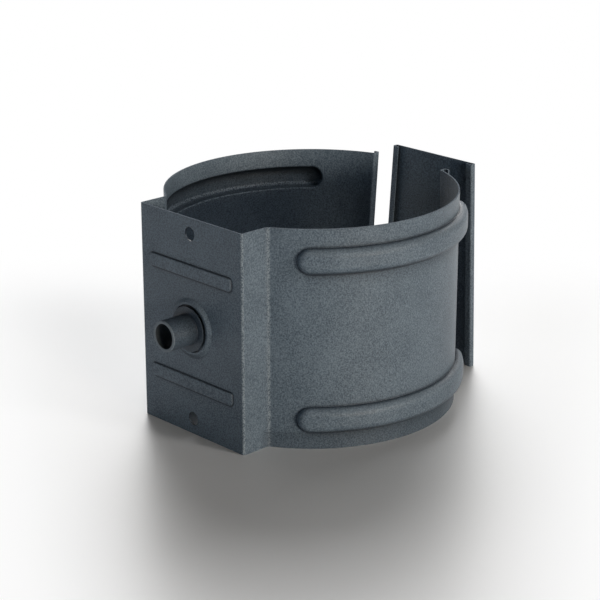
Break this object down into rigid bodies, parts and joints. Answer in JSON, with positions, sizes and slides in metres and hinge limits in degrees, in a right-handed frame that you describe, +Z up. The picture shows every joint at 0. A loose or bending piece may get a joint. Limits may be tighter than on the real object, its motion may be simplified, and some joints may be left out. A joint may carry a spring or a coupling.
{
  "type": "downpipe bracket",
  "caption": "Folded sheet steel bracket that clamps a round downpipe, with a ribbed wall base, a rivet sleeve for a threaded stud and a slide-on locking plate.",
  "frame": {"origin": "on the pipe axis, in the plane of the bracket's bottom edges", "axes": "+Z up along the pipe axis, +Y from the wall base to the mouth, +X to the right seen from the wall's side"},
  "size_m": [0.107, 0.1295, 0.0755],
  "materials": {
    "strap_paint": "satin, fine grain",
    "sleeve_paint": "satin, fine grain",
    "plate_paint": "satin, fine grain"
  },
  "bodies": {
    "root": {"clamp_strap": "strap_paint", "rivet_sleeve": "sleeve_paint", "locking_plate": "plate_paint"}
  },
  "joints": []
}
